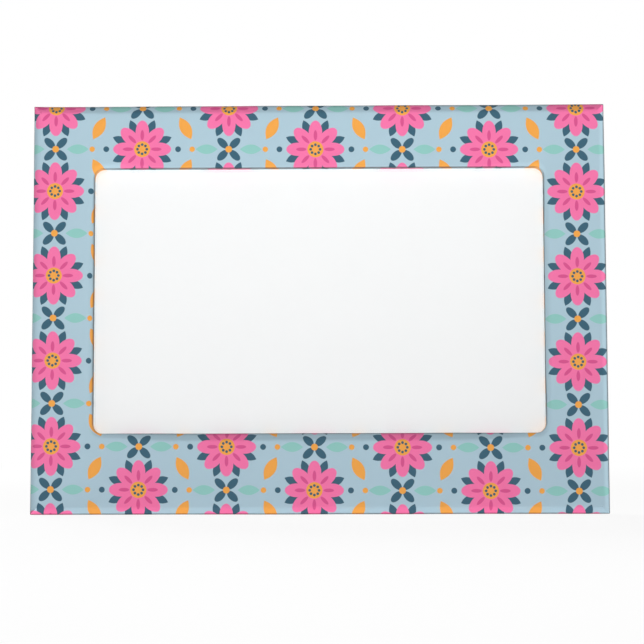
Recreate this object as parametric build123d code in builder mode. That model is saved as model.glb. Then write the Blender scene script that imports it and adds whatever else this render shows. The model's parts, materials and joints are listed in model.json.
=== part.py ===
# Magnetic photo frame for a 6 x 4 inch print, in landscape
#
# The front panel is a ring of board under a thin foam pad. A printed wrap covers its face,
# rolls over every edge and is glued down behind the board, mitred at the outer corners and
# snipped into tabs round the window's corners. Three spacer strips hold the front panel off
# a paper-covered back board, which leaves a pocket that is open at the top. A clear sheet is
# taped behind the window, the print slides down behind it, and a flexible magnet covers the
# back. A thumb notch in the back panel bares the print's top edge, to push it out by.
#
# Millimetres. X runs along the frame, Z is up and the face looks along -Y. The origin is the
# centre of the magnet's outer face, which lies in the plane Y = 0.

from build123d import *
import os

# Print and outline
print_width = 152.4
print_height = 101.6
print_thickness = 0.3
side_cover = 6.2  # what the frame hides of the print, along its left and right ends
edge_cover = 9.5  # and along its top and bottom edges
side_border = 18.9
top_border = 19.7
bottom_border = 24.7
window_corner_radius = 3.0

# Front panel
wrap_thickness = 0.3
foam_thickness = 2.0
foam_roll_share = 0.9  # the radius that the foam's edges are pressed to, over its thickness
front_board_thickness = 1.5
outer_turn_in = 9.0
window_turn_in = 8.0
mitre_gap = 0.4  # at the corners, between one turned-in flap and the next
corner_tab_count = 3
corner_tab_width = 1.3
corner_tab_length = 4.5

# Clear sheet and the tape that holds it behind the window
clear_sheet_thickness = 0.4
clear_sheet_inset = 1.75  # from the sides of the pocket
clear_sheet_corner_radius = 1.5
tape_width = 4.0
tape_thickness = 0.15

# Pocket
print_side_play = 0.5
print_depth_play = 0.6
spacer_inset = 1.5  # from the frame's outline

# Back panel
back_inset = 0.8  # from the frame's outline
cover_thickness = 0.25
back_board_thickness = 1.5
back_turn_in = 10.0
liner_gap = 0.3
thumb_notch_radius = 15.0

# Magnet
magnet_thickness = 1.0
magnet_inset = 3.0  # from the back panel's outline
magnet_corner_radius = 3.0
magnet_notch_margin = 1.0

cut_overrun = 1.0

# Sizes that follow from those
window_width = print_width - 2 * side_cover
window_height = print_height - 2 * edge_cover
frame_width = window_width + 2 * side_border
frame_height = window_height + top_border + bottom_border
window_centre = (bottom_border - top_border) / 2
core_width = frame_width - 2 * wrap_thickness
core_height = frame_height - 2 * wrap_thickness
core_window_width = window_width + 2 * wrap_thickness
core_window_height = window_height + 2 * wrap_thickness
core_window_radius = window_corner_radius + wrap_thickness
foam_roll = foam_roll_share * foam_thickness
wrap_roll = foam_roll + wrap_thickness
pocket_width = print_width + 2 * print_side_play
pocket_bottom = window_centre - print_height / 2
clear_sheet_width = pocket_width - 2 * clear_sheet_inset
clear_sheet_height = print_height - 2 * clear_sheet_inset
spacer_bottom_edge = spacer_inset - frame_height / 2
spacer_height = frame_height - 2 * spacer_inset
spacer_width = (frame_width - pocket_width) / 2 - spacer_inset
back_width = frame_width - 2 * back_inset
back_height = frame_height - 2 * back_inset
back_board_width = back_width - 2 * cover_thickness
back_board_height = back_height - 2 * cover_thickness
liner_width = back_width - 2 * (back_turn_in + liner_gap)
liner_height = back_height - 2 * (back_turn_in + liner_gap)
magnet_width = back_width - 2 * magnet_inset
magnet_height = back_height - 2 * magnet_inset

# Where each layer starts, as a distance in front of the magnet's outer face
cover_level = magnet_thickness
back_board_level = cover_level + cover_thickness
back_turn_in_level = back_board_level + back_board_thickness
pocket_level = back_turn_in_level + cover_thickness
print_level = pocket_level + print_depth_play / 2
clear_sheet_level = pocket_level + print_depth_play + print_thickness
tape_level = clear_sheet_level + clear_sheet_thickness
front_turn_in_level = tape_level + tape_thickness
front_board_level = front_turn_in_level + wrap_thickness
foam_level = front_board_level + front_board_thickness
wrap_face_level = foam_level + foam_thickness + wrap_thickness


def upright(level, height=0):
    """The plane parallel to the face at this level, centred at this height."""
    return Plane(origin=(0, -level, height), x_dir=(1, 0, 0), z_dir=(0, -1, 0))


def ring(width, height, hole_width, hole_height, hole_radius):
    """A rectangle with the round-cornered window through it."""
    Rectangle(width, height)
    with Locations((0, window_centre)):
        RectangleRounded(hole_width, hole_height, hole_radius, mode=Mode.SUBTRACT)


def flaps(width, height, corner_gap, reach, turn):
    """Four flaps that start on the sides of a rectangle and narrow to mitred ends."""
    for run, distance, start in ((width, height / 2, 90), (height, width / 2, 0)):
        with PolarLocations(distance, 2, start_angle=start):
            Trapezoid(run - 2 * corner_gap, reach, 45, rotation=turn, align=(Align.CENTER, Align.MIN))


def inward_flaps(width, height, reach):
    flaps(width, height, mitre_gap, reach, 90)


def outward_flaps(width, height, corner_radius, reach):
    flaps(width, height, corner_radius, reach, -90)


def corner_tabs(width, height, corner_radius):
    """Narrow tabs that fan out round the four rounded corners of a rectangle."""
    tab_angle = 90 / corner_tab_count
    quarters = ((0, 1, 1), (90, -1, 1), (180, -1, -1), (270, 1, -1))
    for start, side, end in quarters:
        corner = (side * (width / 2 - corner_radius), end * (height / 2 - corner_radius))
        with Locations(corner):
            with PolarLocations(corner_radius, corner_tab_count, start + tab_angle / 2, 90):
                Rectangle(corner_tab_length, corner_tab_width, align=(Align.MIN, Align.CENTER))


def front_edges(part):
    """The edges round the face that looks along -Y."""
    return part.faces().sort_by(Axis.Y)[0].edges()


def cut_thumb_notch(radius):
    """Cut the half-round notch into the top edge of a layer of the back panel."""
    depth = pocket_level + 2 * cut_overrun
    with Locations(upright(-cut_overrun, back_height / 2)):
        Cylinder(radius, depth, align=(Align.CENTER, Align.CENTER, Align.MIN), mode=Mode.SUBTRACT)


def finish(builder, name):
    """Label a finished piece, write its file and print its size."""
    builder.part.label = name
    export_step(builder.part, f"parts/{name}.step")
    size = builder.part.bounding_box().size
    print(f"{name}: {size.X:.2f} x {size.Y:.2f} x {size.Z:.2f} mm")


os.makedirs("parts", exist_ok=True)

# Front board: the ring that gives the front panel its stiffness
with BuildPart() as front_board:
    with BuildSketch(upright(front_board_level)):
        ring(core_width, core_height, core_window_width, core_window_height, core_window_radius)
    extrude(amount=front_board_thickness)
finish(front_board, "front_board")

# Foam pad: its edges are pressed round where the wrap is pulled over them
with BuildPart() as foam_pad:
    with BuildSketch(upright(foam_level)):
        ring(core_width, core_height, core_window_width, core_window_height, core_window_radius)
    extrude(amount=foam_thickness)
    fillet(front_edges(foam_pad), foam_roll)
finish(foam_pad, "foam_pad")

# Printed wrap: a skin over foam and board, with its flaps glued down behind the board
with BuildPart() as printed_wrap:
    with BuildSketch(upright(front_board_level)):
        ring(frame_width, frame_height, window_width, window_height, window_corner_radius)
    extrude(amount=wrap_face_level - front_board_level)
    fillet(front_edges(printed_wrap), wrap_roll)
    add(front_board.part, mode=Mode.SUBTRACT)
    add(foam_pad.part, mode=Mode.SUBTRACT)
    with BuildSketch(upright(front_turn_in_level)):
        inward_flaps(frame_width, frame_height, outer_turn_in)
    with BuildSketch(upright(front_turn_in_level, window_centre)):
        outward_flaps(window_width, window_height, window_corner_radius, window_turn_in)
        corner_tabs(window_width, window_height, window_corner_radius)
    extrude(amount=wrap_thickness)
finish(printed_wrap, "printed_wrap")

# Clear sheet over the print
with BuildPart() as clear_sheet:
    with BuildSketch(upright(clear_sheet_level, window_centre)):
        RectangleRounded(clear_sheet_width, clear_sheet_height, clear_sheet_corner_radius)
    extrude(amount=clear_sheet_thickness)
finish(clear_sheet, "clear_sheet")

# Tape along the clear sheet's edges: full strips at the top and bottom, short ones between
tape_rise = (clear_sheet_height - tape_width) / 2
tape_reach = (clear_sheet_width - tape_width) / 2
tape_strips = (
    ("top", (0, tape_rise), clear_sheet_width - 2 * clear_sheet_corner_radius, tape_width),
    ("bottom", (0, -tape_rise), clear_sheet_width - 2 * clear_sheet_corner_radius, tape_width),
    ("left", (-tape_reach, 0), tape_width, clear_sheet_height - 2 * tape_width),
    ("right", (tape_reach, 0), tape_width, clear_sheet_height - 2 * tape_width),
)
for side, centre, strip_width, strip_height in tape_strips:
    with BuildPart() as sheet_tape:
        with BuildSketch(upright(tape_level, window_centre)):
            with Locations(centre):
                Rectangle(strip_width, strip_height)
        extrude(amount=tape_thickness)
    finish(sheet_tape, f"sheet_tape_{side}")

# Spacers: one down each side of the pocket and one under it
spacers = (
    ("left", (spacer_inset - frame_width / 2, spacer_bottom_edge), spacer_width, spacer_height),
    ("right", (pocket_width / 2, spacer_bottom_edge), spacer_width, spacer_height),
    ("bottom", (-pocket_width / 2, spacer_bottom_edge), pocket_width, pocket_bottom - spacer_bottom_edge),
)
for side, corner, strip_width, strip_height in spacers:
    with BuildPart() as spacer:
        with BuildSketch(upright(pocket_level)):
            with Locations(corner):
                Rectangle(strip_width, strip_height, align=(Align.MIN, Align.MIN))
        extrude(amount=front_turn_in_level - pocket_level)
    finish(spacer, f"spacer_{side}")

# Insert card: the blank card that fills the pocket until a print takes its place
with BuildPart() as insert_card:
    with BuildSketch(upright(print_level, pocket_bottom)):
        Rectangle(print_width, print_height, align=(Align.CENTER, Align.MIN))
    extrude(amount=print_thickness)
finish(insert_card, "insert_card")

# Back board, with the notch that shows the print's top edge
with BuildPart() as back_board:
    with BuildSketch(upright(back_board_level)):
        Rectangle(back_board_width, back_board_height)
    extrude(amount=back_board_thickness)
    cut_thumb_notch(thumb_notch_radius)
finish(back_board, "back_board")

# Back cover: paper over the back board, turned in on the pocket side, cut with its notch
with BuildPart() as back_cover:
    with BuildSketch(upright(cover_level)):
        Rectangle(back_width, back_height)
    extrude(amount=back_turn_in_level - cover_level)
    add(back_board.part, mode=Mode.SUBTRACT)
    with BuildSketch(upright(back_turn_in_level)):
        inward_flaps(back_width, back_height, back_turn_in)
    extrude(amount=cover_thickness)
    cut_thumb_notch(thumb_notch_radius)
finish(back_cover, "back_cover")

# Pocket liner: the same paper, laid between the back cover's flaps
with BuildPart() as pocket_liner:
    with BuildSketch(upright(back_turn_in_level)):
        Rectangle(liner_width, liner_height)
    extrude(amount=cover_thickness)
    cut_thumb_notch(thumb_notch_radius)
finish(pocket_liner, "pocket_liner")

# Magnet: a flexible sheet on the back, kept clear of the notch
with BuildPart() as magnet_sheet:
    with BuildSketch(upright(0)):
        RectangleRounded(magnet_width, magnet_height, magnet_corner_radius)
    extrude(amount=magnet_thickness)
    cut_thumb_notch(thumb_notch_radius + magnet_notch_margin)
finish(magnet_sheet, "magnet_sheet")
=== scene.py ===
import json
from math import cos, pi, radians, sin

import bmesh
import bpy
from mathutils import Matrix, Vector, noise


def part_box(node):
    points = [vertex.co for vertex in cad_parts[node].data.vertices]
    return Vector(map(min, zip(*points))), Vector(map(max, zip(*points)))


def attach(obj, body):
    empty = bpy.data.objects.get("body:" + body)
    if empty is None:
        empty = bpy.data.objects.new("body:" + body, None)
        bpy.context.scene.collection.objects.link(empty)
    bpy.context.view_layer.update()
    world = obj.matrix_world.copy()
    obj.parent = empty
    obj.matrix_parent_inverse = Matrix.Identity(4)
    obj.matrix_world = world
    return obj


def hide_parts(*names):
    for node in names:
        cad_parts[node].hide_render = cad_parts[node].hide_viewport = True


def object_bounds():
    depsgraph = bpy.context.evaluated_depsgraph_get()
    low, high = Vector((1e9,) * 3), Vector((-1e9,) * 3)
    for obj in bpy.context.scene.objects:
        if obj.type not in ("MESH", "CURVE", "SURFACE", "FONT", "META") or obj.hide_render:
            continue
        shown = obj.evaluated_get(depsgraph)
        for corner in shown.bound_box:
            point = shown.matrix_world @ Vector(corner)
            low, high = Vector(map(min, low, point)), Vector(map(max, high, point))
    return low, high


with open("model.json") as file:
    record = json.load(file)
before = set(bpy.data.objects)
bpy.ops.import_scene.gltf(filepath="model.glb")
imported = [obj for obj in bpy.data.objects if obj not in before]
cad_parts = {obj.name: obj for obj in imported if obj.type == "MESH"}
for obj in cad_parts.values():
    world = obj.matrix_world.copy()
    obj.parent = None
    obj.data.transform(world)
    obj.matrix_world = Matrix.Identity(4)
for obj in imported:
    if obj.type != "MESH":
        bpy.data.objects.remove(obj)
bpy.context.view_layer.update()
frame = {"nodes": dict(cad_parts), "record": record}
scene = bpy.context.scene
mm = 0.001
mergeDistance = 0.001 * mm  # vertices closer than this are one
print("frame loaded")


def linearColour(hexColour, alpha=1.0):
    # sRGB hex to the linear colour that the shaders work in
    channels = [int(hexColour[i:i + 2], 16) / 255 for i in (1, 3, 5)]
    linear = [c / 12.92 if c <= 0.04045 else ((c + 0.055) / 1.055) ** 2.4 for c in channels]
    return (*linear, alpha)


def perSize(millimetres):
    # texture scale, on coordinates in metres, that repeats once in this many millimetres
    return 1 / (millimetres * mm)


wavePeriod = pi / 10  # a Wave texture's bands repeat in this length at a scale of 1


def addNode(tree, kind, inputs=None, **settings):
    # adds a shader node; an input is a value or another node's output. A colour Mix takes its
    # factor at input 0 and its colours at 6 and 7, and gives the result at output 2
    node = tree.nodes.new("ShaderNode" + kind)
    for name, value in settings.items():
        setattr(node, name, value)
    for name, value in (inputs or {}).items():
        if isinstance(value, bpy.types.NodeSocket):
            tree.links.new(value, node.inputs[name])
        else:
            node.inputs[name].default_value = value
    return node


def startMaterial(name, constants):
    # a material with its Principled shader, whose constants are set on the shader's own sockets
    material = bpy.data.materials.new(name)
    material.use_nodes = True
    tree = material.node_tree
    shader = tree.nodes["Principled BSDF"]
    for socket, value in constants.items():
        shader.inputs[socket].default_value = value
    return material, tree, shader


# Camera: fitted to the frame's outline and its window in the photograph
cameraView = {
    "lens": 89.62,  # mm, on a 36 mm sensor
    "right": 6.7 * mm,
    "below": 42.3 * mm,
    "away": 493.5 * mm,  # from the wrap's face
    "tilt": 4.38,  # degrees up
    "turn": 0.663,
    "roll": -0.20,
}


def placeCamera(view):
    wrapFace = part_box("printed_wrap")[0].y
    camera = bpy.data.objects.new("photoCamera", bpy.data.cameras.new("photoCamera"))
    camera.data.sensor_width = 36
    camera.data.lens = view["lens"]
    camera.data.clip_start = 0.02
    place = Matrix.Translation((view["right"], wrapFace - view["away"], -view["below"]))
    tilt = Matrix.Rotation(radians(90 + view["tilt"]), 4, "X")
    turn = Matrix.Rotation(radians(view["turn"]), 4, "Y")
    roll = Matrix.Rotation(radians(view["roll"]), 4, "Z")
    camera.matrix_world = place @ tilt @ turn @ roll
    scene.collection.objects.link(camera)
    scene.camera = camera


placeCamera(cameraView)
print("camera placed")

# The wrapped panel's outline and layers, read from the frame
wrapLow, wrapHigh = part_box("printed_wrap")
foamLow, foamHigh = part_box("foam_pad")
windowOpening = next(o for o in frame["record"]["physics"]["openings"] if o["name"] == "window")

panel = {
    "windowMargin": 0.5 * mm,  # the opening's box stops this far inside the window's edges
    "windowRadius": 3.0 * mm,
    "crown": 0.10 * mm,
    "arcSteps": 9,  # in each half of a window corner
    "cornerRadius": 0.3 * mm,
    "cornerRoll": 2.4 * mm,  # the corner is sharp on the face and round from here to the edge
    "cornerSteps": 3,
    "straightStep": 2.5 * mm,
    "blendSteps": 8,
    "faceSteps": 8,
    "outerShade": 0.15 * mm,  # how far down the wall the painted shade line runs out
    # painted shade: the window's walls are darkened this far down, as shade in the recess
    "windowShade": 3.6 * mm,
    "cornerShade": 0.3,  # share of the painted shade left in the window's corners
    "shadeFade": 3,  # steps in which the painted shade reaches its full tone
    "lumpHeight": 0.14 * mm,
    "lumpLength": 17 * mm,
    "lumpRise": 2.0 * mm,  # the lumps grow to their full height this far above the board
}
# How each edge rolls over: a bend, a straight and the last tight bend, each a size in
# millimetres and its degrees, then the steps from the tight bend's start to where the painted
# shade line starts; the hand that pulled the wrap left no two edges alike
edgeSteps = (5, 2, 7)
outerRolls = {
    "corner": ((2.6, 26), (0.8, 0), (0.6, 64), 0),
    "top": ((2.3, 33), (1.8, 0), (0.6, 57), -1),
    "right": ((2.6, 26), (0.7, 0), (0.8, 64), -1),
    "bottom": ((3.0, 18), (1.3, 0), (0.8, 72), 0),
    "left": ((3.1, 56), (0.1, 0), (0.5, 34), -2),
}
windowRolls = {
    "corner": ((2.2, 20), (0.5, 0), (0.65, 70), 2),
    "top": ((1.0, 3), (0.2, 0), (0.4, 87), 2),
    "right": ((1.9, 50), (0.7, 0), (0.5, 40), 0),
    "bottom": ((2.0, 38), (1.5, 0), (0.6, 52), -1),
    "left": ((2.0, 40), (1.2, 0), (0.5, 50), -1),
}
lowOpening, highOpening = (Vector(corner) for corner in windowOpening["box_m"])
windowLow = Vector((lowOpening.x, lowOpening.z)) - Vector((1, 1)) * panel["windowMargin"]
windowHigh = Vector((highOpening.x, highOpening.z)) + Vector((1, 1)) * panel["windowMargin"]
panel["windowCentre"] = (windowLow + windowHigh) / 2
panel["windowHalf"] = (windowHigh - windowLow) / 2
panel["half"] = Vector((wrapHigh.x - wrapLow.x, wrapHigh.z - wrapLow.z)) / 2
panelSides = {  # each side's direction along and its direction out, seen from the front
    "top": (Vector((1, 0)), Vector((0, 1))),
    "right": (Vector((0, -1)), Vector((1, 0))),
    "bottom": (Vector((-1, 0)), Vector((0, -1))),
    "left": (Vector((0, 1)), Vector((-1, 0))),
}


def smoothStep(share):
    share = min(max(share, 0), 1)
    return share * share * (3 - 2 * share)


def walkEdge(roll, inset):
    # an edge's roll from the face to the wall: (outward, down, walked, painted shade) at each step
    *bends, shadeDelay = roll
    outward = down = walked = heading = 0.0
    section = [(outward, down, walked, 0.0)]
    shadeStart = edgeSteps[0] + edgeSteps[1] + shadeDelay
    for (size, turn), steps in zip(bends, edgeSteps):
        bend = radians(turn) / steps
        stride = (size * mm - inset) * bend if turn else size * mm / steps
        for step in range(steps):
            heading += bend / 2
            outward += stride * cos(heading)
            down += stride * sin(heading)
            walked += stride
            heading += bend / 2
            paintedShade = min(max(len(section) - shadeStart, 0) / panel["shadeFade"], 1.0)
            section.append((outward, down, walked, paintedShade))
    return section


def wholeSection(roll, inset, depth, shadeDepth, foldRadius=0.0):
    # the roll, the wall down to this depth and the fold under the board, each row as its distance
    # inside the edge, its depth, the length that the roll takes up and how much painted shade darkens it
    rolled = walkEdge(roll, inset)
    outward, down, walked, paintedShade = rolled[-1]
    wall = depth - down - foldRadius
    shaded = min(shadeDepth, wall * 0.95)  # the rows stay in order on a low wall
    # painted shade on the wall: full over its first part, then none below it
    for reach, paintedShade in ((shaded * 0.6, 1.0), (shaded, 0.0), ((wall + shaded) / 2, 0.0), (wall, 0.0)):
        rolled.append((outward, down + reach, walked + reach, paintedShade))
    for step in (1, 2, 3) if foldRadius else ():
        angle = radians(30 * step)
        rolled.append((
            outward - foldRadius * (1 - cos(angle)), depth - foldRadius + foldRadius * sin(angle),
            walked + wall + foldRadius * angle, 0.0,
        ))
    return [Vector((outward - row[0], row[1], row[2] - row[0], row[3])) for row in rolled]


class PanelSide:
    # one side of the wrapped panel, from its outer edge to the window's
    def __init__(self, name, inset, depth, foldRadius=0.0):
        along, out = panelSides[name]
        reach = [abs(axis.dot(panel["half"])) - inset for axis in (along, out)]
        window = [abs(axis.dot(panel["windowHalf"])) + inset for axis in (along, out)]
        centre = [axis.dot(panel["windowCentre"]) for axis in (along, out)]
        self.along, self.out = along, out
        self.halfAlong, self.halfOut = reach
        self.radius = panel["windowRadius"] + inset
        self.start = centre[0] - window[0] + self.radius
        self.end = centre[0] + window[0] - self.radius
        self.arcOut = centre[1] + window[1] - self.radius
        self.arcSteps = panel["arcSteps"]
        self.straightSteps = round((self.end - self.start) / panel["straightStep"])
        self.columns = self.straightSteps + 2 * self.arcSteps
        sections = [
            wholeSection(rolls[key], inset, depth, shadeDepth, foldRadius)
            for rolls, shadeDepth in ((outerRolls, panel["outerShade"]), (windowRolls, panel["windowShade"]))
            for key in (name, "corner")
        ]
        self.outerSection, self.outerCorner, self.windowSection, self.windowCorner = sections
        self.rows = len(self.outerSection)

    def outerRow(self, column, row):
        # the side's own roll, which passes into the corners' towards its ends
        fromEnd = min(column, self.columns - column)
        return self.outerCorner[row].lerp(self.outerSection[row], smoothStep(fromEnd / self.arcSteps))

    def windowRow(self, column, row):
        # the same for the window's roll, whose painted shade is lighter round its corners and just past
        # them
        fromEnd = min(column, self.columns - column)
        share = smoothStep((fromEnd - self.arcSteps) / panel["blendSteps"])
        mixed = self.windowCorner[row].lerp(self.windowSection[row], share)
        cornerShade = panel["cornerShade"]
        mixed[3] *= cornerShade + (1 - cornerShade) * smoothStep(fromEnd / self.arcSteps - 0.5)
        return mixed

    def straight(self, column):
        return self.start + (self.end - self.start) * (column - self.arcSteps) / self.straightSteps

    def outerSpot(self, column, inside):
        # columns crowd together towards the mitres, where the corner rounds as it leaves the face
        half, rise = self.halfAlong - inside, self.halfOut - inside
        fromEnd = min(column, self.columns - column)
        if fromEnd >= self.arcSteps:
            return self.along * self.straight(column) + self.out * rise
        radius = panel["cornerRadius"] * max(1 - inside / panel["cornerRoll"], 0)
        cornerSteps = panel["cornerSteps"]
        angle = radians(45) * max(1 - fromEnd / cornerSteps, 0)
        share = max(fromEnd - cornerSteps, 0) / (self.arcSteps - cornerSteps)
        towards, run = (-1, self.start + half) if column == fromEnd else (1, half - self.end)
        place = half - radius + radius * sin(angle) - (run - radius) * share ** 2
        return self.along * towards * place + self.out * (rise - radius + radius * cos(angle))

    def windowSpot(self, column, inside):
        # the spot, and the direction away from the window there
        if column < self.arcSteps:
            angle, centre = -radians(45) * (1 - column / self.arcSteps), self.start
        elif column > self.columns - self.arcSteps:
            angle, centre = radians(45) * (1 - (self.columns - column) / self.arcSteps), self.end
        else:
            angle, centre = 0.0, self.straight(column)
        away = self.along * sin(angle) + self.out * cos(angle)
        return self.along * centre + self.out * self.arcOut + away * (self.radius + inside), away


def layStrip(bm, columns, rows, place):
    # a grid laid by place(column, row): each vertex's spot, level, flat position and painted shade
    uvLayer = bm.loops.layers.uv.verify()
    # each vertex's share of painted shade, which darkens the print along the tight bends and window walls
    shadeLayer = bm.verts.layers.float.get("edgePaintedShade") or bm.verts.layers.float.new("edgePaintedShade")
    grid = bmesh.ops.create_grid(bm, x_segments=columns, y_segments=rows, size=1)
    flatPlaces = {}
    for vert in grid["verts"]:
        column = round((vert.co.x + 1) / 2 * columns)
        row = round((vert.co.y + 1) / 2 * rows)
        spot, level, flatPlaces[vert], vert[shadeLayer] = place(column, row)
        vert.co = (spot.x, -level, spot.y)
    for face in {face for vert in grid["verts"] for face in vert.link_faces}:
        face.smooth = True
        for loop in face.loops:
            loop[uvLayer].uv = flatPlaces[loop.vert]


def laySide(bm, side, faceLevel):
    # one side in one strip: up its outer wall, over the face and down into the window
    faceSteps = panel["faceSteps"]
    last = side.rows - 1
    leastFlat = 0.6 * mm  # inside a window corner the wrap is drawn together

    def place(column, row):
        if row <= last:
            inside, down, taken, paintedShade = side.outerRow(column, last - row)
            spot = side.outerSpot(column, inside)
            return spot, faceLevel - down, spot + side.out * taken, paintedShade
        if row < last + faceSteps:
            share = (row - last) / faceSteps
            outer = side.outerSpot(column, side.outerRow(column, 0)[0])
            spot = outer.lerp(side.windowSpot(column, side.windowRow(column, 0)[0])[0], share)
            return spot, faceLevel + panel["crown"] * 4 * share * (1 - share), spot, 0.0
        inside, down, taken, paintedShade = side.windowRow(column, row - last - faceSteps)
        spot, away = side.windowSpot(column, inside)
        if not side.arcSteps <= column <= side.columns - side.arcSteps:
            taken = min(taken, side.radius + inside - leastFlat)
        return spot, faceLevel - down, spot - away * taken, paintedShade

    layStrip(bm, side.columns, last + faceSteps + last, place)


def lumpHeight(spot):
    # slow unevenness left by the hand that pulled the wrap tight, never inwards
    return panel["lumpHeight"] * (0.5 + 0.5 * noise.noise(spot / panel["lumpLength"]))


def raiseLumps(bm, baseLevel):
    bm.normal_update()
    moves = {}
    for vert in bm.verts:
        rise = min(max((-vert.co.y - baseLevel) / panel["lumpRise"], 0), 1)
        moves[vert] = vert.normal * lumpHeight(vert.co) * rise
    for vert, move in moves.items():
        vert.co += move


def finishMesh(bm, name):
    mesh = bpy.data.meshes.new(name)
    bm.to_mesh(mesh)
    bm.free()
    piece = bpy.data.objects.new(name, mesh)
    scene.collection.objects.link(piece)
    return piece


def faceOutwards(bm):
    # recalculates the normals and turns them so that the frontmost face looks at the viewer
    bmesh.ops.recalc_face_normals(bm, faces=bm.faces)
    bm.normal_update()
    frontmost = min(bm.faces, key=lambda face: face.calc_center_median().y)
    if frontmost.normal.y > 0:
        bmesh.ops.reverse_faces(bm, faces=bm.faces)


# Printed wrap: one sheet over the foam and board, mitred at the corners, snipped at the window's
wrapMake = {
    "thickness": 0.3 * mm,
    "foldRadius": 0.35 * mm,
    "outerTurnIn": 9.0 * mm,
    "windowTurnIn": 8.0 * mm,
    "mitreGap": 0.4 * mm,
    "turnInSteps": 4,
    "tabStarts": (5, 35, 65),  # degrees round a window corner
    "tabSpread": 20,  # degrees
    "tabReach": 4.5 * mm,
    "tabSteps": 3,
}


def layTurnIns(bm, side, backLevel):
    # the flaps glued down behind the board, narrowed at 45 degrees
    make = wrapMake
    steps = make["turnInSteps"]
    outerFlap = make["outerTurnIn"] - make["foldRadius"]
    windowFlap = make["windowTurnIn"] - make["foldRadius"]
    edge = side.halfAlong - side.outerCorner[-1][0]

    def placeOuter(column, row):
        inside, down, taken, paintedShade = side.outerRow(column, -1)
        reach = outerFlap * (row / steps) ** 1.5  # rows crowd at the fold
        spot = side.outerSpot(column, inside)
        gap = make["mitreGap"] if row else 0
        narrowed = spot.dot(side.along) * (edge - gap - reach) / edge
        spot = side.along * narrowed + side.out * spot.dot(side.out)
        return spot - side.out * reach, backLevel, spot + side.out * (taken + reach), paintedShade

    def placeWindow(column, row):
        column += side.arcSteps
        inside, down, taken, paintedShade = side.windowRow(column, -1)
        reach = windowFlap * row / steps
        spot, away = side.windowSpot(column, inside)
        middle = (side.start + side.end) / 2
        half = (side.end - side.start) / 2
        flat = spot - away * (taken + reach)
        spot = spot - side.along * (spot.dot(side.along) - middle) * reach / half
        return spot + away * reach, backLevel, flat, paintedShade

    layStrip(bm, side.columns, steps, placeOuter)
    layStrip(bm, side.straightSteps, steps, placeWindow)


def layCornerTabs(bm, side, backLevel):
    # narrow tabs that fan out behind the corner at this side's start
    arcStep = 45 / panel["arcSteps"]
    radius = side.radius + side.windowCorner[-1][0]
    centre = side.along * side.start + side.out * side.arcOut
    tabColumns = round(wrapMake["tabSpread"] / arcStep)
    reachEnd = wrapMake["tabReach"] - wrapMake["foldRadius"]
    for first in wrapMake["tabStarts"]:
        middle = first + arcStep * tabColumns / 2

        def place(column, row):
            angle = radians(first + arcStep * column)
            away = -side.along * cos(angle) + side.out * sin(angle)
            straight = -side.along * cos(radians(middle)) + side.out * sin(radians(middle))
            reach = reachEnd * row / wrapMake["tabSteps"]
            spot = centre + away * radius + straight * reach
            return spot, backLevel, centre - straight * reach, 0.0

        layStrip(bm, tabColumns, wrapMake["tabSteps"], place)


def buildPrintedWrap(facing, backing):
    make = wrapMake
    faceLevel, backLevel = -wrapLow.y, -wrapHigh.y
    sides = {name: PanelSide(name, 0, faceLevel - backLevel, make["foldRadius"]) for name in panelSides}
    bm = bmesh.new()
    for side in sides.values():
        laySide(bm, side, faceLevel)
        layTurnIns(bm, side, backLevel)
        layCornerTabs(bm, side, backLevel)
    bmesh.ops.remove_doubles(bm, verts=bm.verts, dist=mergeDistance)
    faceOutwards(bm)
    raiseLumps(bm, backLevel)
    wrap = finishMesh(bm, "printedWrap")
    wrap.data.materials.append(facing)
    wrap.data.materials.append(backing)
    skin = wrap.modifiers.new("wrapThickness", "SOLIDIFY")
    skin.thickness = make["thickness"]
    skin.offset = -1
    skin.use_even_offset = True
    skin.material_offset = 1  # the back and the cut edges show the backing
    skin.material_offset_rim = 1
    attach(wrap, "frame")
    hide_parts("printed_wrap")
    declareFlatWrap(sides)


def declareFlatWrap(sides):
    # how far the sheet reaches past each outer and window edge before it was folded; these are worked out
    # and not used, and nothing is declared
    make = wrapMake

    def growth(name, section, turnIn):
        inside, down, taken, paintedShade = section(sides[name])[-1]
        return taken - inside + turnIn - make["foldRadius"]

    outer = {name: growth(name, lambda side: side.outerSection, make["outerTurnIn"]) for name in sides}
    window = {name: growth(name, lambda side: side.windowSection, make["windowTurnIn"]) for name in sides}


# Foam pad: it fills the wrap, so it has the wrap's section less the wrap's thickness
def buildFoamPad(material):
    faceLevel, backLevel = -foamLow.y, -foamHigh.y
    steps = panel["faceSteps"]
    bm = bmesh.new()
    for name in panelSides:
        side = PanelSide(name, wrapMake["thickness"], faceLevel - backLevel)
        laySide(bm, side, faceLevel)

        def placeBack(column, row):
            outer = side.outerSpot(column, 0)
            spot = outer.lerp(side.windowSpot(column, 0)[0], row / steps)
            return spot, backLevel, spot, 0.0

        layStrip(bm, side.columns, steps, placeBack)
    bmesh.ops.remove_doubles(bm, verts=bm.verts, dist=mergeDistance)
    faceOutwards(bm)
    raiseLumps(bm, backLevel)
    foam = finishMesh(bm, "foamPad")
    foam.data.materials.append(material)
    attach(foam, "frame")
    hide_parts("foam_pad")


# Print on the wrap: a half-drop repeat of daisies, with sprigs between them, in millimetres
printDesign = {
    "across": 27.0,
    "up": 26.4,
    "shift": (1.2, 3.4, 0.0),
    "turn": 0.3,  # degrees, as the sheet was laid a little off square
    "inkEdge": 0.05,
    "inkWander": 0.10,
    "petals": 8,
    "shadeTone": (0.24, 0.20, 0.19),  # what is left of the colour where painted shade darkens the tight bends and window walls
    "ground": "#B1CCD9",
    "pink": "#F879AD",
    "rose": "#DB558F",
    "navy": "#355C6F",
    "orange": "#F5A94D",
    "mint": "#92CBC4",
}
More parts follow.
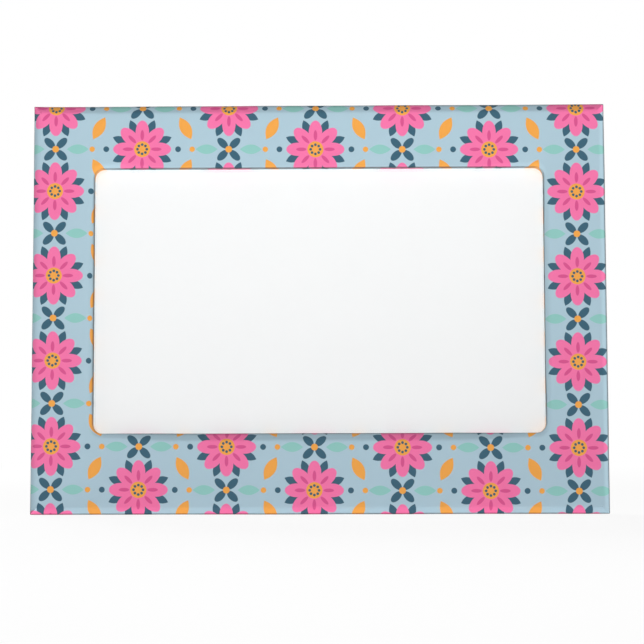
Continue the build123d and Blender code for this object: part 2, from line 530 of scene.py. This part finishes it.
# Each shape: its form, centre, half length, half width and turn in degrees
daisyShapes = {
    "sepal": ("leaf", (7.3, 0.0), 2.6, 1.25, 0),
    "petal": ("oval", (5.3, 0.0), 3.75, 2.1, 0),
    "blush": ("oval", (4.4, 0.0), 1.6, 0.55, 0),
    "heart": ("oval", (0.0, 0.0), 2.5, 2.5, 0),
    "seed": ("oval", (1.45, 0.0), 0.42, 0.42, 0),
}
sprigShapes = {
    "leaf": ("leaf", (6.9, 0.0), 3.4, 1.5, 0),
    "petal": ("oval", (1.9, 1.9), 2.1, 1.15, 45),
    "heart": ("oval", (0.0, 0.0), 1.05, 1.05, 0),
    "berry": ("oval", (11.4, 0.0), 0.85, 0.85, 0),
}
betweenShapes = {
    "leaf": ("leaf", (13.5, 6.6), 3.9, 1.75, 118),
    "dot": ("oval", (11.2, 0.0), 0.9, 0.9, 0),
}


def shapeMask(tree, place, shape):
    # 1 inside an oval or a pointed leaf, 0 outside, with a soft edge as wide as ink spreads
    form, centre, halfLength, halfWidth, turn = shape
    own = addNode(
        tree, "Mapping",
        {"Vector": place, "Location": (*centre, 0), "Rotation": (0, 0, radians(turn)),
         "Scale": (halfLength, halfWidth, 1)},
        vector_type="TEXTURE",
    ).outputs["Vector"]
    if form == "oval":
        reach = addNode(tree, "VectorMath", {0: own}, operation="LENGTH").outputs["Value"]
    else:
        parts = addNode(tree, "SeparateXYZ", {"Vector": own})
        side = addNode(tree, "Math", {0: parts.outputs["Y"]}, operation="ABSOLUTE").outputs[0]
        reach = addNode(
            tree, "Math", {0: parts.outputs["X"], 1: parts.outputs["X"], 2: side},
            operation="MULTIPLY_ADD",
        ).outputs[0]
    spread = printDesign["inkEdge"] / halfWidth
    return addNode(
        tree, "MapRange",
        {"Value": reach, "From Min": 1 + spread, "From Max": 1 - spread, "To Min": 0.0, "To Max": 1.0},
    ).outputs["Result"]


def repeatPlaces(tree, place):
    # places within a daisy's cell and a sprig's cell; every second column drops by half a repeat
    across, up = printDesign["across"], printDesign["up"]
    parts = addNode(tree, "SeparateXYZ", {"Vector": place})
    column = addNode(
        tree, "Math", {0: parts.outputs["X"], 1: 1 / across, 2: 0.5},
        operation="MULTIPLY_ADD",
    )
    column = addNode(tree, "Math", {0: column.outputs[0]}, operation="FLOOR")
    dropped = addNode(tree, "Math", {0: column.outputs[0], 1: 1.0}, operation="PINGPONG")
    cells = []
    for extra in (0.0, up / 2):
        lift = addNode(
            tree, "Math", {0: dropped.outputs[0], 1: up / 2, 2: extra},
            operation="MULTIPLY_ADD",
        )
        raised = addNode(tree, "Math", {0: parts.outputs["Y"], 1: lift.outputs[0]}, operation="ADD")
        moved = addNode(tree, "CombineXYZ", {"X": parts.outputs["X"], "Y": raised.outputs[0]})
        cell = addNode(
            tree, "VectorMath",
            {0: moved.outputs[0], 1: (across / 2, up / 2, 1), 2: (-across / 2, -up / 2, -1)},
            operation="WRAP",
        )
        cells.append(cell.outputs["Vector"])
    return cells


def petalPlace(tree, cell, turned):
    # folds a daisy's cell into one petal's wedge, so that one shape draws them all
    wedge = radians(180 / printDesign["petals"])
    parts = addNode(tree, "SeparateXYZ", {"Vector": cell})
    angle = addNode(tree, "Math", {0: parts.outputs["Y"], 1: parts.outputs["X"]}, operation="ARCTAN2")
    if turned:
        angle = addNode(tree, "Math", {0: angle.outputs[0], 1: wedge}, operation="ADD")
    angle = addNode(tree, "Math", {0: angle.outputs[0], 1: wedge, 2: -wedge}, operation="WRAP")
    reach = addNode(tree, "VectorMath", {0: cell}, operation="LENGTH").outputs["Value"]
    direction = [
        addNode(tree, "Math", {0: angle.outputs[0]}, operation=part).outputs[0]
        for part in ("COSINE", "SINE")
    ]
    unit = addNode(tree, "CombineXYZ", {"X": direction[0], "Y": direction[1]})
    return addNode(
        tree, "VectorMath", {0: unit.outputs[0], "Scale": reach},
        operation="SCALE",
    ).outputs[0]


def printInks(tree, place):
    # lays the inks over the ground, one shape after another
    daisy, sprig = repeatPlaces(tree, place)
    petal = petalPlace(tree, daisy, turned=False)
    sepal = petalPlace(tree, daisy, turned=True)
    between = addNode(tree, "VectorMath", {0: daisy}, operation="ABSOLUTE").outputs[0]
    quarter = addNode(tree, "VectorMath", {0: sprig}, operation="ABSOLUTE").outputs[0]
    layers = (
        (quarter, sprigShapes["leaf"], "mint"),
        (quarter, sprigShapes["petal"], "navy"),
        (quarter, sprigShapes["heart"], "orange"),
        (quarter, sprigShapes["berry"], "orange"),
        (between, betweenShapes["leaf"], "orange"),
        (between, betweenShapes["dot"], "navy"),
        (sepal, daisyShapes["sepal"], "navy"),
        (petal, daisyShapes["petal"], "pink"),
        (petal, daisyShapes["blush"], "rose"),
        (daisy, daisyShapes["heart"], "orange"),
        (petal, daisyShapes["seed"], "navy"),
    )
    under = linearColour(printDesign["ground"])
    for cell, shape, ink in layers:
        mask = shapeMask(tree, cell, shape)
        mixed = addNode(
            tree, "Mix", {0: mask, 6: under, 7: linearColour(printDesign[ink])},
            data_type="RGBA",
        )
        under = mixed.outputs[2]
    return under


def makeSatinWrap():
    # coated paper on a cloth backing, offset printed: a satin sheen over a very fine tooth, and a
    # thin dark line of painted shade along the tight bends and down the window's walls
    material, tree, shader = startMaterial("satinPrintedWrap", {"IOR": 1.5})
    # from the flat sheet's metres to the print's millimetres
    flat = addNode(tree, "UVMap").outputs["UV"]
    turn = radians(printDesign["turn"])
    place = addNode(
        tree, "Mapping",
        {"Vector": flat, "Location": printDesign["shift"], "Rotation": (0, 0, turn),
         "Scale": (1000, 1000, 1000)},
    ).outputs["Vector"]
    wander = addNode(tree, "TexNoise", {"Vector": place, "Scale": 0.9, "Detail": 2.0})
    wander = addNode(
        tree, "VectorMath", {0: wander.outputs["Color"], 1: (0.5, 0.5, 0.5)},
        operation="SUBTRACT",
    )
    wander = addNode(
        tree, "VectorMath", {0: wander.outputs[0], "Scale": printDesign["inkWander"]}, operation="SCALE"
    )
    place = addNode(tree, "VectorMath", {0: place, 1: wander.outputs[0]}, operation="ADD").outputs[0]
    inks = printInks(tree, place)
    tone = addNode(tree, "TexNoise", {"Vector": place, "Scale": 1 / 14, "Detail": 3.0})
    tone = addNode(
        tree, "MapRange",
        {"Value": tone.outputs["Fac"], "From Min": 0.3, "From Max": 0.7,
         "To Min": 0.985, "To Max": 1.0},
    ).outputs["Result"]
    toned = addNode(tree, "VectorMath", {0: inks, "Scale": tone}, operation="SCALE")
    # painted shade: a dark, patchy line along the tight bends and down the window's walls, multiplied into
    # the print
    paintedShade = addNode(tree, "Attribute", attribute_name="edgePaintedShade", attribute_type="GEOMETRY").outputs["Fac"]
    patchy = addNode(tree, "TexNoise", {"Vector": place, "Scale": 1 / 5, "Detail": 3.0})
    patchy = addNode(
        tree, "MapRange",
        {"Value": patchy.outputs["Fac"], "From Min": 0.3, "From Max": 0.7,
         "To Min": 0.85, "To Max": 1.0},
    ).outputs["Result"]
    paintedShade = addNode(tree, "Math", {0: paintedShade, 1: patchy}, operation="MULTIPLY").outputs[0]
    shaded = addNode(
        tree, "VectorMath", {0: toned.outputs[0], 1: printDesign["shadeTone"]},
        operation="MULTIPLY",
    )
    shadedInks = addNode(tree, "Mix", {0: paintedShade, 6: toned.outputs[0], 7: shaded.outputs[0]}, data_type="RGBA")
    tooth = addNode(tree, "TexNoise", {"Vector": place, "Scale": 1 / 0.35, "Detail": 2.0})
    sheen = addNode(
        tree, "MapRange",
        {"Value": tooth.outputs["Fac"], "From Min": 0.3, "From Max": 0.7,
         "To Min": 0.50, "To Max": 0.60},
    )
    bump = addNode(
        tree, "Bump", {"Height": tooth.outputs["Fac"], "Strength": 0.25, "Distance": 0.02 * mm},
    )
    tree.links.new(shadedInks.outputs[2], shader.inputs["Base Color"])
    tree.links.new(sheen.outputs["Result"], shader.inputs["Roughness"])
    tree.links.new(bump.outputs["Normal"], shader.inputs["Normal"])
    return material


def makeWrapBacking():
    # the wrap's unprinted back, bonded cotton on paper: white, matt, with a faint thread mottle
    material, tree, shader = startMaterial("wrapClothBacking", {"IOR": 1.5, "Roughness": 0.9})
    flat = addNode(tree, "UVMap").outputs["UV"]
    threads = addNode(tree, "TexNoise", {"Vector": flat, "Scale": perSize(0.4), "Detail": 3.0})
    colour = addNode(
        tree, "Mix", {0: threads.outputs["Fac"], 6: linearColour("#E2DFD8"), 7: linearColour("#F0EEE9")},
        data_type="RGBA",
    )
    bump = addNode(
        tree, "Bump", {"Height": threads.outputs["Fac"], "Strength": 0.4, "Distance": 0.03 * mm},
    )
    tree.links.new(colour.outputs[2], shader.inputs["Base Color"])
    tree.links.new(bump.outputs["Normal"], shader.inputs["Normal"])
    return material


def makeOpenFoam():
    # polyurethane foam sheet: fine open cells, the hollow of each painted darker as shade between their
    # walls
    material, tree, shader = startMaterial("openCellFoam", {"IOR": 1.5, "Roughness": 0.95})
    place = addNode(tree, "TexCoord").outputs["Object"]
    cells = addNode(tree, "TexVoronoi", {"Vector": place, "Scale": perSize(0.45)}, feature="F1")
    colour = addNode(tree, "ValToRGB", {"Fac": cells.outputs["Distance"]})
    colour.color_ramp.elements[0].position = 0.25
    colour.color_ramp.elements[0].color = linearColour("#C9C7BE")
    colour.color_ramp.elements[1].position = 0.65
    colour.color_ramp.elements[1].color = linearColour("#ECEBE4")
    bump = addNode(
        tree, "Bump", {"Height": cells.outputs["Distance"], "Strength": 0.6, "Distance": 0.1 * mm},
    )
    tree.links.new(colour.outputs["Color"], shader.inputs["Base Color"])
    tree.links.new(bump.outputs["Normal"], shader.inputs["Normal"])
    return material


def makeGreyboard():
    # grey pulp board: recycled fibre with pale and dark specks, plies showing on its cut edges
    material, tree, shader = startMaterial("greyPulpBoard", {"IOR": 1.5, "Roughness": 0.92})
    place = addNode(tree, "TexCoord").outputs["Object"]
    lay = addNode(tree, "Mapping", {"Vector": place, "Scale": (1, 3, 1)}).outputs["Vector"]
    fibre = addNode(
        tree, "TexNoise", {"Vector": lay, "Scale": perSize(0.6), "Detail": 5.0, "Roughness": 0.7},
    )
    speck = addNode(tree, "TexVoronoi", {"Vector": lay, "Scale": perSize(2.2)}, feature="F1")
    pulp = addNode(tree, "ValToRGB", {"Fac": fibre.outputs["Fac"]})
    pulp.color_ramp.elements[0].position = 0.35
    pulp.color_ramp.elements[0].color = linearColour("#8B877D")
    pulp.color_ramp.elements[1].position = 0.65
    pulp.color_ramp.elements[1].color = linearColour("#AFAB9F")
    dark = addNode(
        tree, "MapRange",
        {"Value": speck.outputs["Distance"], "From Min": 0.08, "From Max": 0.14,
         "To Min": 0.55, "To Max": 0.0},
    ).outputs["Result"]
    specked = addNode(
        tree, "Mix", {0: dark, 6: pulp.outputs["Color"], 7: linearColour("#5E5A52")}, data_type="RGBA"
    ).outputs[2]
    ply = addNode(
        tree, "TexWave",
        {"Vector": place, "Scale": perSize(0.5) * wavePeriod,
         "Distortion": 1.5, "Detail": 2.0, "Detail Scale": 4.0},
        wave_type="BANDS", bands_direction="Y",
    )
    normal = addNode(tree, "SeparateXYZ", {"Vector": addNode(tree, "NewGeometry").outputs["Normal"]})
    flatness = addNode(tree, "Math", {0: normal.outputs["Y"]}, operation="ABSOLUTE")
    onEdge = addNode(
        tree, "MapRange",
        {"Value": flatness.outputs[0], "From Min": 0.3, "From Max": 0.6, "To Min": 0.35, "To Max": 0.0},
    ).outputs["Result"]
    amount = addNode(tree, "Math", {0: onEdge, 1: ply.outputs["Fac"]}, operation="MULTIPLY").outputs[0]
    board = addNode(
        tree, "Mix", {0: amount, 6: specked, 7: linearColour("#77736A")}, data_type="RGBA"
    ).outputs[2]
    bump = addNode(
        tree, "Bump", {"Height": fibre.outputs["Fac"], "Strength": 0.5, "Distance": 0.05 * mm},
    )
    tree.links.new(board, shader.inputs["Base Color"])
    tree.links.new(bump.outputs["Normal"], shader.inputs["Normal"])
    return material


def makeCoverPaper():
    # uncoated white cover paper: soft fibre mottle, matt, slightly toothed
    material, tree, shader = startMaterial("uncoatedCoverPaper", {"IOR": 1.5, "Roughness": 0.82})
    place = addNode(tree, "TexCoord").outputs["Object"]
    fibre = addNode(tree, "TexNoise", {"Vector": place, "Scale": perSize(0.5), "Detail": 4.0})
    cloud = addNode(tree, "TexNoise", {"Vector": place, "Scale": perSize(6), "Detail": 2.0})
    both = addNode(
        tree, "Math", {0: fibre.outputs["Fac"], 1: 0.6, 2: cloud.outputs["Fac"]},
        operation="MULTIPLY_ADD",
    )
    colour = addNode(tree, "ValToRGB", {"Fac": both.outputs[0]})
    colour.color_ramp.elements[0].position = 0.55
    colour.color_ramp.elements[0].color = linearColour("#E7E5DF")
    colour.color_ramp.elements[1].position = 1.0
    colour.color_ramp.elements[1].color = linearColour("#F0EEE9")
    bump = addNode(
        tree, "Bump", {"Height": fibre.outputs["Fac"], "Strength": 0.35, "Distance": 0.03 * mm},
    )
    tree.links.new(colour.outputs["Color"], shader.inputs["Base Color"])
    tree.links.new(bump.outputs["Normal"], shader.inputs["Normal"])
    return material


def makeInsertCard():
    # smooth white card, clay coated: almost even, with a trace of mottle
    material, tree, shader = startMaterial("coatedWhiteCard", {"IOR": 1.5})
    place = addNode(tree, "TexCoord").outputs["Object"]
    mottle = addNode(tree, "TexNoise", {"Vector": place, "Scale": perSize(1.2), "Detail": 3.0})
    colour = addNode(
        tree, "Mix", {0: mottle.outputs["Fac"], 6: linearColour("#F7F7F7"), 7: linearColour("#FAFAFA")},
        data_type="RGBA",
    )
    sheen = addNode(
        tree, "MapRange",
        {"Value": mottle.outputs["Fac"], "From Min": 0.3, "From Max": 0.7,
         "To Min": 0.50, "To Max": 0.60},
    )
    tree.links.new(colour.outputs[2], shader.inputs["Base Color"])
    tree.links.new(sheen.outputs["Result"], shader.inputs["Roughness"])
    return material


def makeClearFilm():
    # clear polyester film: the print shows straight through, with a gloss that grows at low angles;
    # nothing bends the light here, so its far face is told that it too is met from the air
    material = bpy.data.materials.new("clearPolyesterFilm")
    material.use_nodes = True
    tree = material.node_tree
    tree.nodes.remove(tree.nodes["Principled BSDF"])
    place = addNode(tree, "TexCoord").outputs["Object"]
    scuffs = addNode(tree, "TexNoise", {"Vector": place, "Scale": perSize(3), "Detail": 4.0})
    haze = addNode(
        tree, "MapRange",
        {"Value": scuffs.outputs["Fac"], "From Min": 0.3, "From Max": 0.7,
         "To Min": 0.02, "To Max": 0.06},
    )
    through = addNode(tree, "BsdfTransparent", {"Color": (0.985, 0.99, 0.99, 1)})
    gloss = addNode(
        tree, "BsdfAnisotropic", {"Color": (1, 1, 1, 1), "Roughness": haze.outputs["Result"]},
    )
    farFace = addNode(tree, "NewGeometry").outputs["Backfacing"]
    turned = addNode(tree, "Math", {0: farFace, 1: -2.0, 2: 1.0}, operation="MULTIPLY_ADD")
    ior = addNode(tree, "Math", {0: 1.57, 1: turned.outputs[0]}, operation="POWER")
    share = addNode(tree, "Fresnel", {"IOR": ior.outputs[0]})
    both = addNode(
        tree, "MixShader", {0: share.outputs["Fac"], 1: through.outputs[0], 2: gloss.outputs[0]},
    )
    tree.links.new(both.outputs[0], tree.nodes["Material Output"].inputs["Surface"])
    return material


def makeTissueTape():
    # double-sided tissue tape: a thin tissue carrier in pale adhesive, slightly mottled
    material, tree, shader = startMaterial("doubleSidedTissueTape", {"IOR": 1.48})
    place = addNode(tree, "TexCoord").outputs["Object"]
    tissue = addNode(
        tree, "TexNoise", {"Vector": place, "Scale": perSize(0.8), "Detail": 5.0, "Roughness": 0.65},
    )
    colour = addNode(
        tree, "Mix", {0: tissue.outputs["Fac"], 6: linearColour("#D6CFBB"), 7: linearColour("#ECE8DA")},
        data_type="RGBA",
    )
    sheen = addNode(
        tree, "MapRange",
        {"Value": tissue.outputs["Fac"], "From Min": 0.3, "From Max": 0.7,
         "To Min": 0.35, "To Max": 0.6},
    )
    tree.links.new(colour.outputs[2], shader.inputs["Base Color"])
    tree.links.new(sheen.outputs["Result"], shader.inputs["Roughness"])
    return material


def makeFlexibleMagnet():
    # ferrite in rubber, rolled: near black with a brown cast, matt, in fine parallel lines
    material, tree, shader = startMaterial("flexibleFerriteMagnet", {"IOR": 1.52})
    place = addNode(tree, "TexCoord").outputs["Object"]
    lines = addNode(
        tree, "TexWave",
        {"Vector": place, "Scale": perSize(1.8) * wavePeriod,
         "Distortion": 0.4, "Detail": 2.0, "Detail Scale": 1.5},
        wave_type="BANDS", bands_direction="Z",
    )
    grain = addNode(tree, "TexNoise", {"Vector": place, "Scale": perSize(0.25), "Detail": 3.0})
    scuff = addNode(
        tree, "TexNoise", {"Vector": place, "Scale": perSize(9), "Detail": 6.0, "Roughness": 0.7},
    )
    lined = addNode(
        tree, "Mix", {0: lines.outputs["Fac"], 6: linearColour("#2B2724"), 7: linearColour("#38332F")},
        data_type="RGBA",
    ).outputs[2]
    dust = addNode(
        tree, "MapRange",
        {"Value": scuff.outputs["Fac"], "From Min": 0.5, "From Max": 0.8, "To Min": 0.0, "To Max": 0.5},
    ).outputs["Result"]
    dusted = addNode(
        tree, "Mix", {0: dust, 6: lined, 7: linearColour("#4A4540")},
        data_type="RGBA",
    ).outputs[2]
    sheen = addNode(
        tree, "MapRange",
        {"Value": lines.outputs["Fac"], "From Min": 0.0, "From Max": 1.0,
         "To Min": 0.48, "To Max": 0.66},
    )
    bump = addNode(
        tree, "Bump", {"Height": grain.outputs["Fac"], "Strength": 0.4, "Distance": 0.02 * mm},
    )
    bump = addNode(
        tree, "Bump",
        {"Height": lines.outputs["Fac"], "Strength": 0.5,
         "Distance": 0.03 * mm, "Normal": bump.outputs["Normal"]},
    )
    tree.links.new(dusted, shader.inputs["Base Color"])
    tree.links.new(sheen.outputs["Result"], shader.inputs["Roughness"])
    tree.links.new(bump.outputs["Normal"], shader.inputs["Normal"])
    return material


buildPrintedWrap(makeSatinWrap(), makeWrapBacking())
print("printed wrap folded")
buildFoamPad(makeOpenFoam())
print("foam pad filled")

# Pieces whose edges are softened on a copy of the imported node
flatWithin = radians(1)  # triangles that meet flatter than this are one face
sharpFrom = radians(40)  # edges that fold more than this are softened
softened = {
    "backCover": {"node": "back_cover", "slot": "cover_paper", "radius": 0.35 * mm, "segments": 3},
    "magnetSheet": {"node": "magnet_sheet", "slot": "flexible_magnet", "radius": 0.12 * mm, "segments": 2},
}


def onOutline(edge, low, high):
    # true for an edge that runs round the node's outline, on its outermost planes
    tolerance = 0.005 * mm
    for axis in (0, 2):
        for limit in (low[axis], high[axis]):
            if all(abs(vert.co[axis] - limit) < tolerance for vert in edge.verts):
                return True
    return False


def soften(name, make, material, everyEdge):
    node = frame["nodes"][make["node"]]
    low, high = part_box(make["node"])
    bm = bmesh.new()
    bm.from_mesh(node.data)
    bmesh.ops.remove_doubles(bm, verts=bm.verts, dist=mergeDistance)
    bmesh.ops.dissolve_limit(
        bm, angle_limit=flatWithin, verts=bm.verts, edges=bm.edges, use_dissolve_boundaries=False
    )
    sharp = [
        edge for edge in bm.edges
        if len(edge.link_faces) == 2 and edge.is_convex and edge.calc_face_angle() > sharpFrom
        and (everyEdge or onOutline(edge, low, high))
    ]
    bmesh.ops.bevel(
        bm, geom=sharp, offset=make["radius"], segments=make["segments"], profile=0.5, affect="EDGES",
        material=-1,
    )
    piece = finishMesh(bm, name)
    piece.data.materials.append(material)
    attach(piece, "frame")
    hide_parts(make["node"])


coverPaper = makeCoverPaper()
soften("backCover", softened["backCover"], coverPaper, everyEdge=False)
soften("magnetSheet", softened["magnetSheet"], makeFlexibleMagnet(), everyEdge=True)
print("back softened")


def dressNode(node, material):
    slots = frame["nodes"][node].data.materials
    slots.clear()
    slots.append(material)


greyboard = makeGreyboard()
for boardNode in ("front_board", "back_board", "spacer_left", "spacer_right", "spacer_bottom"):
    dressNode(boardNode, greyboard)
dressNode("pocket_liner", coverPaper)
dressNode("clear_sheet", makeClearFilm())
dressNode("insert_card", makeInsertCard())
tissueTape = makeTissueTape()
for edgeName in ("top", "bottom", "left", "right"):
    dressNode(f"sheet_tape_{edgeName}", tissueTape)
print("nodes dressed")

# Studio: a pale floor under the frame and plain soft light
studio = {
    "floorSize": 6.0,
    "floorColour": "#F4F4F4",
    "floorWhite": (0.90, 1.0),  # how much of what the camera sees of the floor is plain white,
    "floorFade": (0.15, 1.2),  # at the first of these distances and at the second, in metres
    "ambient": 0.06,
}
lamps = {
    "keyLamp": {  # close, above the camera, so that the frame darkens towards its foot
        "kind": "AREA", "place": (0.0, -0.34, 0.24), "size": 0.16, "power": 0.81,
        "shadow": False, "mirrored": False,
    },
    "fillLamp": {  # distant, from below the camera: it models the rolled edges
        "kind": "SUN", "place": (0.15, -0.50, -0.87), "size": 0.2, "power": 1.72,
        "shadow": False, "mirrored": False,
    },
    "edgeLamp": {  # in line with the face, from the lower right: it lights the outer edges alone
        "kind": "SUN", "place": (0.91, 0.07, -0.41), "size": 0.1, "power": 2.0,
        "shadow": True, "mirrored": False,
    },
    "backLamp": {  # for the back and the left side, which the others don't reach
        "kind": "AREA", "place": (-0.50, 1.0, 0.80), "size": 0.8, "power": 14.0,
        "shadow": True, "mirrored": True,
    },
}


def plainlySeen(tree):
    # 1 where the camera looks, also by way of a reflection or through the film
    path = addNode(tree, "LightPath")
    mirrored = addNode(
        tree, "Math", {0: path.outputs["Is Camera Ray"], 1: path.outputs["Is Glossy Ray"]},
        operation="MAXIMUM",
    )
    return addNode(
        tree, "Math", {0: mirrored.outputs[0], 1: path.outputs["Is Transmission Ray"]},
        operation="MAXIMUM",
    ).outputs[0]


def layFloor():
    material, tree, shader = startMaterial(
        "paleFloor", {"Base Color": linearColour(studio["floorColour"]), "Roughness": 0.9}
    )
    place = addNode(tree, "TexCoord").outputs["Object"]
    distance = addNode(tree, "VectorMath", {0: place}, operation="LENGTH").outputs["Value"]
    fade = addNode(
        tree, "MapRange",
        {"Value": distance, "From Min": studio["floorFade"][0], "From Max": studio["floorFade"][1],
         "To Min": studio["floorWhite"][0], "To Max": studio["floorWhite"][1]},
        interpolation_type="SMOOTHSTEP",
    ).outputs["Result"]
    share = addNode(tree, "Math", {0: plainlySeen(tree), 1: fade}, operation="MULTIPLY")
    white = addNode(tree, "Emission", {"Color": (1, 1, 1, 1), "Strength": 1.0})
    both = addNode(tree, "MixShader", {0: share.outputs[0], 1: shader.outputs[0], 2: white.outputs[0]})
    tree.links.new(both.outputs[0], tree.nodes["Material Output"].inputs["Surface"])
    bm = bmesh.new()
    bmesh.ops.create_grid(bm, x_segments=1, y_segments=1, size=studio["floorSize"] / 2)
    floor = finishMesh(bm, "paleFloor")
    floor.location.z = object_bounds()[0].z
    floor.data.materials.append(material)
    floor.visible_shadow = False  # the lamps below it shine through, and it still takes shadows


def hangLamp(name, make):
    lamp = bpy.data.objects.new(name, bpy.data.lights.new(name, make["kind"]))
    if make["kind"] == "AREA":
        lamp.data.shape = "DISK"
        lamp.data.size = make["size"]
    else:
        lamp.data.angle = make["size"]
    lamp.data.energy = make["power"]
    lamp.data.use_shadow = make["shadow"]
    lamp.visible_glossy = make["mirrored"]
    lamp.visible_camera = False
    lamp.location = make["place"]
    lamp.rotation_mode = "QUATERNION"
    lamp.rotation_quaternion = (-Vector(make["place"])).to_track_quat("-Z", "Y")
    scene.collection.objects.link(lamp)


def fillWorld():
    # even faint light all round; the camera, reflections and the film see plain white
    world = bpy.data.worlds.new("studioWorld")
    world.use_nodes = True
    scene.world = world
    tree = world.node_tree
    tree.nodes.clear()
    ambient = addNode(tree, "Background", {"Color": (1, 1, 1, 1), "Strength": studio["ambient"]})
    white = addNode(tree, "Background", {"Color": (1, 1, 1, 1), "Strength": 1.0})
    both = addNode(
        tree, "MixShader", {0: plainlySeen(tree), 1: ambient.outputs[0], 2: white.outputs[0]},
    )
    out = addNode(tree, "OutputWorld")
    tree.links.new(both.outputs[0], out.inputs["Surface"])


layFloor()
for lampName, lampMake in lamps.items():
    hangLamp(lampName, lampMake)
fillWorld()
scene.view_settings.view_transform = "Standard"
print("studio lit")
